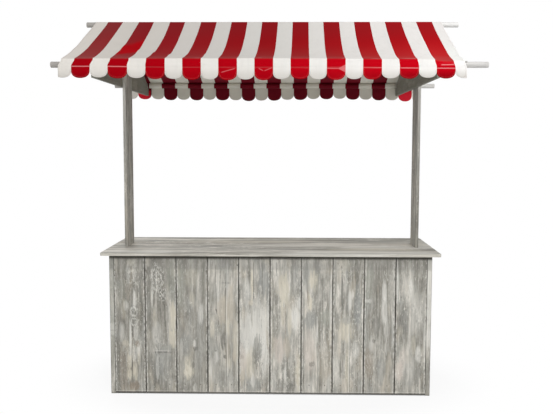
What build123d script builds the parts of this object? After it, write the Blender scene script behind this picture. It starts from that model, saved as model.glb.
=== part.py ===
"""Wooden market stall: a boarded counter, two plank posts and a striped awning on three poles.

Frame: X along the counter, Y from the customer's side to the seller's side, Z up.
The origin is on the ground under the middle of the counter. All sizes are in millimetres.
"""

import math
import os

from build123d import *

os.makedirs("parts", exist_ok=True)

# ---------------------------------------------------------------- driving dimensions
# counter
board_count = 10              # boards across the front
board_pitch = 200.0           # from one board's seam to the next
front_board_thickness = 18.0
side_board_count = 4          # boards in each end of the counter
side_board_thickness = 28.0
counter_depth = 748.0         # over the front boards, to the back edge of the ends
counter_height = 921.0        # up to the top's upper face
front_board_floor_gap = 6.0   # the front boards hang clear of the ground

# joint between two boards
seam_gap = 2.0                # between the faces of two boards
seam_chamfer = 2.5            # on each long edge, so that a seam is a V
tongue_length = 8.0
tongue_clearance = 0.4        # all round the tongue in its groove

# counter top
top_thickness = 18.0
top_side_overhang = 54.0
top_front_overhang = 26.0
top_corner_radius = 20.0
top_edge_softening = 2.0

# rails inside the counter
rail_height = 45.0
rail_thickness = 28.0
side_rail_width = 60.0        # wide enough for the post's mortise
bottom_rail_height = 40.0     # ground to the underside of the bottom rails

# posts
post_thickness = 20.0
post_depth = 205.0
post_inset = 15.0             # from a counter end's inner face to the post
post_clearance = 0.4          # round a post in its mortises and in the top's slot
post_top_gap = 18.0           # from the post's top to the ridge pole's underside
post_edge_softening = 2.0

# poles
pole_radius = 17.5
pole_overhang = 213.0          # each pole, past each end of the counter
pole_end_rounding = 3.0
pole_seat_clearance = 0.4     # between a pole and its seat
eaves_reach = 777.0           # ridge pole to front pole, and to rear pole, along Y
eaves_height = 2060.0         # middle of the front and rear poles
ridge_rise = 344.0            # middle of the ridge pole over the other two

# gable panels
gable_thickness = 18.0
gable_drop = 75.0             # middle of the eaves poles to the panel's lower edge
gable_end_cheek = 14.0        # wood outside an eaves pole's seat
gable_end_low = 6.0           # top of that cheek under the pole's middle
gable_edge_gap = 0.9          # straight down from the sagging cloth to the sloping edge
gable_edge_tilt = 3.0         # the edge is this much nearer the poles' line at the eaves

# awning
cloth_thickness = 2.5
cloth_clearance = 0.4         # between the cloth and the poles or panels
cloth_sag = 18.0              # of each slope under a straight line from pole to pole
stripe_count = 21             # whole stripes, the outer ones red
left_margin = 72.0            # part stripes at the two ends
right_margin = 60.0
awning_left_overhang = 124.0  # past the left end of the counter
awning_right_overhang = 100.3
eaves_bend_radius = 20.0      # where a slope turns down into the valance
scallop_depth = 38.0
valance_drop = 91.0           # middle of the eaves poles to the lowest point of a scallop
scallop_cut_width = 1.2       # slit between two scallops

# ---------------------------------------------------------------- derived places
counter_inner_half = board_count * board_pitch / 2
counter_outer_half = counter_inner_half + side_board_thickness
front_face_y = -counter_depth / 2
back_face_y = counter_depth / 2
front_inner_y = front_face_y + front_board_thickness
board_top_z = counter_height - top_thickness
top_rail_z = board_top_z - rail_height
post_outer_x = counter_inner_half - post_inset
post_inner_x = post_outer_x - post_thickness
pole_length = 2 * (counter_outer_half + pole_overhang)
ridge_height = eaves_height + ridge_rise
post_top_z = ridge_height - pole_radius - post_top_gap
gable_bottom_z = eaves_height - gable_drop
slope_pitch = math.atan2(ridge_rise, eaves_reach)
gable_edge_rise = (pole_radius + cloth_clearance - cloth_sag) / math.cos(slope_pitch) - gable_edge_gap
gable_end_y = eaves_reach + pole_radius + pole_seat_clearance + gable_end_cheek
valance_inner_y = gable_end_y + cloth_clearance
scallop_bottom_z = eaves_height - valance_drop
scallop_valley_z = scallop_bottom_z + scallop_depth
awning_left_edge = -counter_outer_half - awning_left_overhang
awning_right_edge = counter_outer_half + awning_right_overhang
awning_length = awning_right_edge - awning_left_edge
stripe_width = (awning_length - left_margin - right_margin) / stripe_count


def block(x0, x1, y0, y1, z0, z1):
    """A box given by its two corners."""
    return Pos((x0 + x1) / 2, (y0 + y1) / 2, (z0 + z1) / 2) * Box(x1 - x0, y1 - y0, z1 - z0)


def save(name, shape):
    """Names a piece and writes it to its own file."""
    shape.label = name
    export_step(shape, f"parts/{name}.step")


# ---------------------------------------------------------------- boards
def board_outline(width, thickness, groove, tongue):
    """Section of a board, seen from its end: u across the width, v from its outer face inwards.

    One edge has a groove and the other a tongue, or either is plain where the board meets a frame.
    """
    middle = thickness / 2
    tongue_half = thickness / 6
    groove_half = tongue_half + tongue_clearance
    groove_depth = tongue_length - seam_gap + tongue_clearance
    left = seam_gap / 2 if groove else 0.0
    right = width - seam_gap / 2 if tongue else width
    points = [(left, seam_chamfer), (left + seam_chamfer, 0)]
    points += [(right - seam_chamfer, 0), (right, seam_chamfer)]
    if tongue:
        points += [(right, middle - tongue_half), (right + tongue_length, middle - tongue_half)]
        points += [(right + tongue_length, middle + tongue_half), (right, middle + tongue_half)]
    points += [(right, thickness), (left, thickness)]
    if groove:
        points += [(left, middle + groove_half), (left + groove_depth, middle + groove_half)]
        points += [(left + groove_depth, middle - groove_half), (left, middle - groove_half)]
    return points


def front_board(index):
    """One upright board of the counter's front, counted from the left."""
    points = board_outline(board_pitch, front_board_thickness, index > 0, index < board_count - 1)
    start = -counter_inner_half + index * board_pitch
    placed = [(start + u, front_face_y + v) for u, v in points]
    section = make_face(Polyline(placed, close=True))
    height = board_top_z - front_board_floor_gap
    return Pos(0, 0, front_board_floor_gap) * extrude(section, amount=height, dir=(0, 0, 1))


def side_board(index, side):
    """One upright board of a counter end; side is -1 on the left and 1 on the right."""
    pitch = counter_depth / side_board_count
    points = board_outline(pitch, side_board_thickness, index > 0, index < side_board_count - 1)
    start = front_face_y + index * pitch
    placed = [(side * (counter_outer_half - v), start + u) for u, v in points]
    section = make_face(Polyline(placed, close=True))
    return extrude(section, amount=board_top_z, dir=(0, 0, 1))


# ---------------------------------------------------------------- frame inside the counter
def post_passage(side, z0, z1):
    """The slot that a post drops through, with its clearance."""
    x0 = side * (post_inner_x - post_clearance)
    x1 = side * (post_outer_x + post_clearance)
    half = post_depth / 2 + post_clearance
    return block(min(x0, x1), max(x0, x1), -half, half, z0, z1)


def side_rail(side, z0, back_y):
    """A rail on a counter end, mortised for the post."""
    x0 = side * (counter_inner_half - side_rail_width)
    x1 = side * counter_inner_half
    front_y = front_inner_y + rail_thickness
    rail = block(min(x0, x1), max(x0, x1), front_y, back_y, z0, z0 + rail_height)
    return rail - post_passage(side, z0 - 1, z0 + rail_height + 1)


def cross_rail(front_y, z0):
    """A rail that runs the length of the counter between its ends."""
    half = counter_inner_half
    return block(-half, half, front_y, front_y + rail_thickness, z0, z0 + rail_height)


def counter_top():
    """The top, with rounded corners and a slot for each post."""
    half_length = counter_outer_half + top_side_overhang
    half_depth = counter_depth / 2 + top_front_overhang
    slab = block(-half_length, half_length, -half_depth, half_depth, board_top_z, counter_height)
    slab = fillet(slab.edges().filter_by(Axis.Z), top_corner_radius)
    slab = fillet(slab.edges().group_by(Axis.Z)[-1], top_edge_softening)
    for side in (-1, 1):
        slab -= post_passage(side, board_top_z - 1, counter_height + 1)
    return slab


def post(side):
    """A plank that stands on the ground, edge on to the customer."""
    x0 = side * post_inner_x
    x1 = side * post_outer_x
    plank = block(min(x0, x1), max(x0, x1), -post_depth / 2, post_depth / 2, 0, post_top_z)
    return chamfer(plank.edges().filter_by(Axis.Z), post_edge_softening)


# ---------------------------------------------------------------- awning frame
def pole(y, z):
    """A round pole along the stall, with softened ends."""
    rod = Pos(0, y, z) * (Rot(0, 90, 0) * Cylinder(pole_radius, pole_length))
    return fillet(rod.edges().filter_by(GeomType.CIRCLE), pole_end_rounding)


def gable_outline():
    """Half of the panel's outline from the middle of its lower edge to the ridge, as (y, z)."""
    cheek_z = eaves_height - gable_end_low
    low = (eaves_reach, eaves_height + gable_edge_rise + gable_edge_tilt)
    high = (0.0, ridge_height + gable_edge_rise - gable_edge_tilt)
    slope = (high[1] - low[1]) / low[0]
    cheek_end_y = low[0] - (cheek_z - low[1]) / slope
    return [
        (0.0, gable_bottom_z),
        (gable_end_y, gable_bottom_z),
        (gable_end_y, cheek_z),
        (cheek_end_y, cheek_z),
        high,
    ]


def pole_seat(y, z):
    """The open seat for a pole: a half round with a straight way up, cut across both panels."""
    radius = pole_radius + pole_seat_clearance
    length = pole_length
    round_part = Pos(0, y, z) * (Rot(0, 90, 0) * Cylinder(radius, length))
    way_up = block(-length / 2, length / 2, y - radius, y + radius, z, z + 2 * radius)
    return round_part + way_up


def gable_panel(x0):
    """A gable between x0 and x0 plus its thickness, with a seat for each pole."""
    half = gable_outline()
    other_half = [(-y, z) for y, z in reversed(half[1:-1])]
    outline = Polyline([Vector(x0, y, z) for y, z in half + other_half], close=True)
    panel = extrude(make_face(outline), amount=gable_thickness, dir=(1, 0, 0))
    for y, z in pole_places.values():
        panel -= pole_seat(y, z)
    return panel


# ---------------------------------------------------------------- awning cloth
def beside_pole(y, z, radius, lean):
    """A point at a radius round a pole, leaning over from straight above it by an angle."""
    return Vector(0, y + radius * math.sin(lean), z + radius * math.cos(lean))


def slope_curve(offset):
    """The cloth's section from the ridge down to its valance, as edges in the YZ plane.

    offset is the distance outside the cloth's inner face. This is the rear slope; the front mirrors it.
    """
    radius = pole_radius + cloth_clearance + offset
    bend = eaves_bend_radius + offset
    sag_turn = 2 * math.atan(2 * cloth_sag / math.hypot(ridge_rise, eaves_reach))
    steep, shallow = slope_pitch + sag_turn, slope_pitch - sag_turn
    crown = beside_pole(0, ridge_height, radius, 0)
    shoulder = beside_pole(0, ridge_height, radius, steep / 2)
    ridge_edge = beside_pole(0, ridge_height, radius, steep)
    eaves_edge = beside_pole(eaves_reach, eaves_height, radius, shallow)
    chord_middle = (ridge_edge + eaves_edge) / 2
    lowest = chord_middle - Vector(0, math.sin(slope_pitch), math.cos(slope_pitch)) * cloth_sag
    # past the eaves pole the cloth runs straight on, then bends down outside the gable ends
    bend_y = valance_inner_y - eaves_bend_radius
    run = (bend_y + bend * math.sin(shallow) - eaves_edge.Y) / math.cos(shallow)
    bend_z = eaves_edge.Z - run * math.sin(shallow) - bend * math.cos(shallow)
    bend_start = beside_pole(bend_y, bend_z, bend, shallow)
    bend_middle = beside_pole(bend_y, bend_z, bend, (shallow + math.pi / 2) / 2)
    bend_end = beside_pole(bend_y, bend_z, bend, math.pi / 2)
    return [
        ThreePointArc(crown, shoulder, ridge_edge),
        ThreePointArc(ridge_edge, lowest, eaves_edge),
        Line(eaves_edge, bend_start),
        ThreePointArc(bend_start, bend_middle, bend_end),
    ]


def awning_slope(side):
    """One roof slope of the cloth, from the ridge to the top of its valance."""
    inner = slope_curve(0.0)
    outer = slope_curve(cloth_thickness)
    ridge_joint = Line(inner[0] @ 0, outer[0] @ 0)
    hem_joint = Line(inner[-1] @ 1, outer[-1] @ 1)
    section = make_face(Wire([*inner, *outer, ridge_joint, hem_joint]))
    sheet = extrude(Pos(awning_left_edge, 0, 0) * section, amount=awning_length, dir=(1, 0, 0))
    return sheet if side > 0 else mirror(sheet, about=Plane.XZ)


def valance_outline(top_z):
    """The valance seen from the front: straight along the top, with one half-oval scallop to a stripe.

    It is drawn a whole stripe too long at each end, then trimmed to the cloth's edges.
    """
    start = awning_left_edge + left_margin - stripe_width
    end = awning_right_edge - right_margin + stripe_width
    half_cut = scallop_cut_width / 2
    edges = [Line((start, scallop_valley_z), (start, top_z))]
    edges.append(Line((start, top_z), (end, top_z)))
    edges.append(Line((end, top_z), (end, scallop_valley_z)))
    for index in range(stripe_count + 2):
        left = start + index * stripe_width
        right = left + stripe_width
        centre = ((left + right) / 2, scallop_valley_z)
        half_width = stripe_width / 2 - half_cut
        edges.append(Line((left, scallop_valley_z), (left + half_cut, scallop_valley_z)))
        edges.append(EllipticalCenterArc(centre, half_width, scallop_depth, 180, arc_size=180))
        edges.append(Line((right - half_cut, scallop_valley_z), (right, scallop_valley_z)))
    middle_x = (awning_left_edge + awning_right_edge) / 2
    trim = Pos(middle_x, top_z) * Rectangle(awning_length, 4 * valance_drop)
    return make_face(Wire(edges)) & trim


def awning_valance(side):
    """The scalloped strip that hangs outside the gable ends, under one slope."""
    top_z = (slope_curve(0.0)[-1] @ 1).Z
    flat = valance_outline(top_z)
    upright = Rot(90, 0, 0) * flat
    y0 = valance_inner_y + cloth_thickness
    sheet = extrude(Pos(0, -valance_inner_y, 0) * upright, amount=cloth_thickness, dir=(0, -1, 0))
    assert abs(sheet.bounding_box().min.Y + y0) < 1e-6
    return sheet if side < 0 else mirror(sheet, about=Plane.XZ)


# ---------------------------------------------------------------- the stall
pole_places = {
    "front_pole": (-eaves_reach, eaves_height),
    "ridge_pole": (0.0, ridge_height),
    "rear_pole": (eaves_reach, eaves_height),
}

for index in range(board_count):
    save(f"front_board_{index + 1:02d}", front_board(index))

for side, name in ((-1, "left"), (1, "right")):
    for index in range(side_board_count):
        save(f"{name}_end_board_{index + 1}", side_board(index, side))
    save(f"{name}_top_rail", side_rail(side, top_rail_z, back_face_y - rail_thickness))
    save(f"{name}_bottom_rail", side_rail(side, bottom_rail_height, back_face_y))
    save(f"{name}_post", post(side))

save("front_top_rail", cross_rail(front_inner_y, top_rail_z))
save("front_bottom_rail", cross_rail(front_inner_y, bottom_rail_height))
save("rear_top_rail", cross_rail(back_face_y - rail_thickness, top_rail_z))
save("counter_top", counter_top())

for name, (y, z) in pole_places.items():
    save(name, pole(y, z))

# both gables stand on the left of their post: outside the left post and inside the right one
save("left_gable", gable_panel(-post_outer_x - gable_thickness))
save("right_gable", gable_panel(post_inner_x - gable_thickness))

for side, name in ((-1, "front"), (1, "rear")):
    save(f"awning_{name}_slope", awning_slope(side))
    save(f"awning_{name}_valance", awning_valance(side))
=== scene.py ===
# %% [markdown]
# # A wooden market stall, dressed around its measured frame
#
# The stall is a boarded counter with an open back, a plank post at each end, and a striped awning
# hung over three round poles. Its frame was drawn first as solids, and the boards, posts, gables
# and poles of that frame are already the right size, so here they only need finishes. The awning
# is cloth, and a solid can't show how cloth hangs, so it is made again as one thin sheet.
#
# Everything is in metres: X runs along the counter, Y from the customer to the seller, Z up.

import math
from types import SimpleNamespace

import bpy
import numpy as np
from mathutils import Matrix, Vector


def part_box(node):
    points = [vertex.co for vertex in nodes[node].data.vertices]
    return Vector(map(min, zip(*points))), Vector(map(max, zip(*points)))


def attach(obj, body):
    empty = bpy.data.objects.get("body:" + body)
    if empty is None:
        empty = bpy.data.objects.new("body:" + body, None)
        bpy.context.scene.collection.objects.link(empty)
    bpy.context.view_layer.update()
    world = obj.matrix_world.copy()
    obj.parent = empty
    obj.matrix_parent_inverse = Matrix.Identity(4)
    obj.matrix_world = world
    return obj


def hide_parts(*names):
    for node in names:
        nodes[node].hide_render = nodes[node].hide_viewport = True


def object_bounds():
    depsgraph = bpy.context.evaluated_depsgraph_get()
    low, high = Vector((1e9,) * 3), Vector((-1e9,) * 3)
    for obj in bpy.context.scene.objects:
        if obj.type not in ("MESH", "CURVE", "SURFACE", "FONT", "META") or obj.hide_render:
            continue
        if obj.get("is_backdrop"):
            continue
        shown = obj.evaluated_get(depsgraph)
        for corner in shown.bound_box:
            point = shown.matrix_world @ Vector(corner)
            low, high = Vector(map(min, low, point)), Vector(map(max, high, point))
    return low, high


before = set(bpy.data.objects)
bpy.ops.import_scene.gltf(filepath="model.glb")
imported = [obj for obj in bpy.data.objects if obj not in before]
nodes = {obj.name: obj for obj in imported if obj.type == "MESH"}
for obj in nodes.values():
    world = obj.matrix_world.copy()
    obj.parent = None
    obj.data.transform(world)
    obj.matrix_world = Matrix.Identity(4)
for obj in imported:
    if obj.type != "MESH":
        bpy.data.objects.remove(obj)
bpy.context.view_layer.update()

# %% [markdown]
# ## A bench for making finishes
#
# A finish is a web of small nodes. Wiring each one by hand hides the idea behind the finish, so two
# short classes help. A `Bench` holds one material and adds any node by its type. A `Strand` is one
# wire of it, and sums written on strands add the nodes that do the sum. Numbers go through Math
# nodes. Places and colours go through Vector Math and Mix, because a Math node turns a colour grey.


# %% A strand
class Strand:
    """One wire of a finish. Sums on it add nodes to its bench."""

    def __init__(self, bench, node, out):
        self.bench, self.node, self.socket = bench, node, node.outputs[out]

    def sum(self, operation, first, second):
        def wide(v):
            return isinstance(v, tuple) or (isinstance(v, Strand) and v.socket.type == "VECTOR")

        kind = "ShaderNodeVectorMath" if wide(first) or wide(second) else "ShaderNodeMath"
        return self.bench.add(kind, {"operation": operation}, [first, second])

    def __add__(self, other):
        return self.sum("ADD", self, other)

    def __radd__(self, other):
        return self.sum("ADD", other, self)

    def __sub__(self, other):
        return self.sum("SUBTRACT", self, other)

    def __rsub__(self, other):
        return self.sum("SUBTRACT", other, self)

    def __mul__(self, other):
        return self.sum("MULTIPLY", self, other)

    def __rmul__(self, other):
        return self.sum("MULTIPLY", other, self)

    def __abs__(self):
        return self.bench.add("ShaderNodeMath", {"operation": "ABSOLUTE"}, [self])

    def out(self, name):
        """Another output of the same node."""
        return Strand(self.bench, self.node, name)


print("strand ready")


# %% A bench
class Bench:
    """One material or world, with a method that adds any node to it."""

    def __init__(self, owner):
        owner.use_nodes = True
        self.owner = owner
        self.tree = owner.node_tree
        self.surface = self.tree.nodes.get("Principled BSDF")

    def add(self, kind, settings=None, values=(), out=0):
        """A new node: its settings first, then its sockets' values or strands."""
        node = self.tree.nodes.new(kind)
        for key, value in (settings or {}).items():
            setattr(node, key, value)
        for key, value in values.items() if isinstance(values, dict) else enumerate(values):
            self.plug(value, node.inputs[key])
        return Strand(self, node, out)

    def plug(self, value, socket):
        if isinstance(value, Strand):
            self.tree.links.new(value.socket, socket)
        elif socket.type == "VECTOR" and isinstance(value, (int, float)):
            socket.default_value = (value, value, value)
        elif socket.type == "RGBA" and len(value) == 3:
            socket.default_value = (*value, 1.0)
        else:
            socket.default_value = value

    def set(self, **sockets):
        """Sets or wires the surface's own sockets: base_color, roughness and so on."""
        for key, value in sockets.items():
            words = key.replace("_", " ").title().replace("Ior", "IOR")
            self.plug(value, self.surface.inputs[words])

    def place(self):
        """Where a point is on its own piece, in metres."""
        return self.add("ShaderNodeTexCoord", out="Object")

    def split(self, place):
        return self.add("ShaderNodeSeparateXYZ", None, [place])

    def join(self, x=0.0, y=0.0, z=0.0):
        return self.add("ShaderNodeCombineXYZ", None, [x, y, z])

    def length(self, place):
        return self.add("ShaderNodeVectorMath", {"operation": "LENGTH"}, [place], out="Value")

    def larger(self, first, second):
        return self.add("ShaderNodeMath", {"operation": "MAXIMUM"}, [first, second])

    def repeat(self, value, pitch):
        """Runs from 0 to pitch again and again."""
        return self.add("ShaderNodeMath", {"operation": "FLOORED_MODULO"}, [value, pitch])

    def cloudy(self, place, detail=4.0, roughness=0.55):
        """Soft random values from 0 to 1, about one cloud to a unit of place."""
        values = {"Vector": place, "Scale": 1.0, "Detail": detail, "Roughness": roughness}
        return self.add("ShaderNodeTexNoise", None, values)

    def ease(self, value, start, end):
        """0 up to start and 1 from end, with a smooth rise between."""
        values = {"Value": value, "From Min": start, "From Max": end}
        return self.add("ShaderNodeMapRange", {"interpolation_type": "SMOOTHSTEP"}, values)

    def blend(self, share, first, second):
        """Paints second over first by share."""
        return self.add("ShaderNodeMix", {"data_type": "RGBA"}, {0: share, 6: first, 7: second}, out=2)

    def bump(self, strength, distance, height):
        values = {"Strength": strength, "Distance": distance, "Height": height}
        return self.add("ShaderNodeBump", None, values)

    def ramp(self, value, stops):
        """A colour for each value: stops are (place, colour) pairs."""
        strand = self.add("ShaderNodeValToRGB", None, [value])
        elements = strand.node.color_ramp.elements
        while len(elements) < len(stops):
            elements.new(1.0)
        for element, (place, colour) in zip(elements, stops):
            element.position = place
            element.color = (*colour, 1.0)
        return strand


print("bench ready")


# %% Paints, finishes and pieces
def paint(red, green, blue):
    """A colour as a screen shows it, 0 to 255, turned into the light values that shaders use."""
    return tuple(((v / 255 + 0.055) / 1.055) ** 2.4 if v > 10 else v / 3294.6 for v in (red, green, blue))


def new_finish(name):
    return Bench(bpy.data.materials.new(name))


def dress(node, material):
    """Gives a node of the frame its finish."""
    mesh = nodes[node].data
    mesh.materials.clear()
    mesh.materials.append(material)


def new_piece(name, data):
    """An object for a mesh, a lamp or a camera, put in the scene."""
    piece = bpy.data.objects.new(name, data)
    bpy.context.scene.collection.objects.link(piece)
    return piece


AXES = "XYZ"
MM = 1000
print("a mid grey is", [round(v, 3) for v in paint(128, 128, 128)])

# %% [markdown]
# ## Weathered wood
#
# The boards are limewashed softwood left out in the weather: grey, brushed along the grain, with
# cream and white where the wash has stayed and dark lines where the wood has opened. An image of
# wood would repeat, so the finish is built from clouds of noise pulled out along the grain. Broad
# clouds give the wash, middle ones the brush strokes, and fine ones the fibres. Each board has its
# own seed and its own list of patches, knots and cracks, so no two look the same.

# %% The wash and its clouds
WASH = [
    (0.12, paint(114, 111, 103)), (0.38, paint(149, 146, 137)), (0.55, paint(174, 171, 162)),
    (0.75, paint(208, 204, 194)), (0.95, paint(232, 228, 218)),
]
TINTS = {
    "cream": paint(222, 215, 196),
    "white": paint(232, 230, 222),
    "tan": paint(206, 196, 178),
    "brown": paint(150, 136, 120),
    "blue": paint(158, 159, 155),
    "dark": paint(126, 125, 119),
    "soot": paint(84, 82, 76),
    "pink": paint(216, 206, 195),
    "green": paint(160, 162, 151),
    # seam: the dark of the seams, where it is painted shade with dirt, and of the painted shadows at the
    # foot and under the counter top
    "seam": paint(72, 70, 63),
    "olive": paint(120, 121, 104),
    "fleck": paint(232, 229, 219),
}
# clouds in a metre across the grain and along it, detail, roughness, and a shift of its own
CLOUDS = {
    "wash": (24.0, 5.0, 2.0, 0.5, (0, 0, 0)),
    "lines": (105.0, 4.5, 4.0, 0.62, (0, 0, 0)),
    "brush": (72.0, 13.0, 5.0, 0.65, (0, 0, 0)),
    "fibres": (230.0, 11.0, 2.0, 0.5, (0, 0, 0)),
    "flecks": (150.0, 42.0, 5.0, 0.7, (0, 0, 0)),
    "worn": (11.0, 4.5, 2.0, 0.55, (4.1, 2.2, 9.3)),
    "streaks": (62.0, 1.1, 3.0, 0.6, (2.7, 8.1, 3.3)),
    "hue": (17.0, 4.5, 2.0, 0.5, (5.3, 1.1, 7.7)),
}
# how far each cloud moves a busy board's shade
SHADES = {"wash": 0.95, "brush": 0.66, "lines": 0.75, "streaks": 0.75, "flecks": 0.4}
FIBRE_SHADE = 0.26


def wood_clouds(bench, grain, grain_size):
    """Every cloud of one board, pulled out along its grain. A swing is a cloud moved to lie about 0."""
    clouds = {}
    for name, (across, along, detail, roughness, shift) in CLOUDS.items():
        scale = (across / grain_size, across, along / grain_size)
        clouds[name] = bench.cloudy(grain * scale + shift, detail, roughness)
    clouds["worn"] = bench.ease(clouds["worn"], 0.47, 0.62)
    for name in SHADES:
        clouds[f"{name}_swing"] = clouds[name] - 0.5
    return SimpleNamespace(**clouds)


def bare_wash(bench, cloud, tone, busy, olive):
    """The wash before any mark: its shade, its warm and cool drifts, and olive for shaded wood."""
    shade = (0.5 + tone) + (cloud.fibres - 0.5) * FIBRE_SHADE
    for name, strength in SHADES.items():
        shade = shade + getattr(cloud, f"{name}_swing") * (strength * busy)
    colour = bench.ramp(shade, WASH)
    colour = bench.blend(bench.ease(cloud.hue, 0.54, 0.7) * 0.4, colour, TINTS["tan"])
    colour = bench.blend(bench.ease(cloud.hue, 0.46, 0.3) * 0.35, colour, TINTS["blue"])
    return bench.blend(olive, colour, TINTS["olive"]) if olive else colour


print("clouds of the wood:", ", ".join(CLOUDS))

# %% [markdown]
# ### Marks on the wood
#
# A patch of old wash, a knot or a crack is a distance: from its middle, or from its line. The fine
# clouds are added to that distance, so its edge runs ragged along the grain, and an ease turns it
# into a mask. A knot's distance also goes through a sine, which gives it rings. Flecks need no list:
# they are the crests and hollows of the finest cloud, strongest where a board is worn.


# %% Patches, knots, cracks and flecks
def away_from(bench, flat, x, z, half_x, half_z):
    """Distance from the middle of a mark in millimetres, as 1 at its edge."""
    return bench.length((flat - (x / MM, 0.0, z / MM)) * (MM / half_x, 0.0, MM / half_z))


def paint_patches(bench, colour, flat, cloud, patches):
    """A patch is (across, along, half width, half length, tint, strength)."""
    ragged = cloud.lines_swing * 2.6 + cloud.brush_swing * 1.2 + cloud.flecks_swing * 1.4
    combed = 0.55 + 0.3 * bench.ease(cloud.lines, 0.36, 0.56)
    for *spot, tint, strength in patches:
        share = bench.ease(away_from(bench, flat, *spot) + ragged, 1.2, 0.75) * (combed * strength)
        colour = bench.blend(share, colour, TINTS[tint])
    return colour


def paint_knots(bench, colour, flat, cloud, sway, knots):
    """A knot is (across, along, half width, half length, rings, strength)."""
    wobble = sway * 1.1 + cloud.brush_swing * 1.6 + cloud.flecks_swing * 0.9
    for *spot, rings, strength in knots:
        away = away_from(bench, flat, *spot) + wobble
        ring = bench.add("ShaderNodeMath", {"operation": "SINE"}, [away * (rings * 2 * math.pi)])
        fade = bench.ease(away, 1.1, 0.6) * (0.4 + 0.6 * bench.ease(cloud.flecks, 0.42, 0.55))
        colour = bench.blend(bench.ease(ring, 0.2, 0.9) * fade * strength, colour, TINTS["dark"])
        colour = bench.blend(bench.ease(ring, -0.2, -0.9) * fade * strength, colour, TINTS["white"])
    return colour


def paint_cracks(bench, colour, wide, high, cloud, sway, cracks):
    """A crack is (across, from, to, half width, tint)."""
    for x, start, end, half, tint in cracks:
        line = bench.ease(abs(wide - x / MM + sway * 0.012), half * 2.2 / MM, half * 0.5 / MM)
        line = line * bench.ease(high + cloud.flecks_swing * 0.1, start / MM, start / MM + 0.03)
        line = line * bench.ease(high + cloud.brush_swing * 0.1, end / MM, end / MM - 0.03)
        colour = bench.blend(line * 0.75, colour, TINTS[tint])
    return colour


def paint_flecks(bench, colour, cloud, busy):
    """Light flecks of wash and dark ones of dirt, most where the board is worn."""
    calm = min(busy, 1.0) ** 2
    light = bench.ease(cloud.flecks, 0.57, 0.62) * ((0.2 + 0.6 * cloud.worn) * calm)
    colour = bench.blend(light, colour, TINTS["fleck"])
    dark = bench.ease(cloud.flecks, 0.41, 0.35) * ((0.1 + 0.45 * cloud.worn) * calm)
    return bench.blend(dark, colour, TINTS["soot"])


print("marks ready, in these tints:", ", ".join(TINTS))

# %% [markdown]
# ### Rims, and the whole finish
#
# Both seams of a board are darkened with painted shade and dirt, and beside each seam the wash has
# worn to a pale lip. A pale line and a painted contact shadow run along the foot, and the counter
# top's painted shadow falls on the head as a dark line and a softer band. These follow the board's own
# outline, so they need only its size. Then one function puts the clouds, the marks and the rims
# together for any board.

# %% The wood finish
SEED_STEPS = (1.37, 0.71, 2.13)
SWAY_LENGTHS = (6.0, 6.0, 2.6)
SWAY_REACH = 0.04


def paint_rims(bench, colour, wide, high, cloud, facing, size, foot):
    """Pale lips, painted shade with dirt at the seams, and painted shadows at the foot and under the top."""
    half, height = size[0] / 2, size[1]
    off_middle = abs(wide - half) + cloud.brush_swing * 0.006
    lip = bench.ease(off_middle, half - 0.012, half - 0.009) * facing
    # dark rims along both seams: painted shade of the joints, with dirt
    dirt = bench.ease(off_middle, half - 0.0065, half - 0.003) * facing
    above_foot = high + cloud.brush_swing * 0.006 - foot
    # the counter top's painted shadow: a soft band on the head, and a dark line right under the top
    shade = bench.ease(high + cloud.brush_swing * 0.03, height - 0.098, height - 0.080)
    seam = bench.ease(high + cloud.brush_swing * 0.01, height - 0.030, height - 0.010)
    for share, tint in (
        (lip * bench.ease(cloud.flecks, 0.45, 0.55) * 0.65, "white"),
        (dirt * (0.5 + 0.45 * bench.ease(cloud.worn + cloud.wash, 0.35, 0.75)), "seam"),
        # a pale line, then the floor's painted contact shadow at the foot
        (bench.ease(above_foot, 0.017, 0.012) * facing * 0.25, "white"),
        (bench.ease(above_foot, 0.0095, 0.006) * 0.85, "seam"),
        (shade * 0.33, "dark"),
        (seam * 0.95, "seam"),
    ):
        colour = bench.blend(share, colour, TINTS[tint])
    return colour


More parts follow.
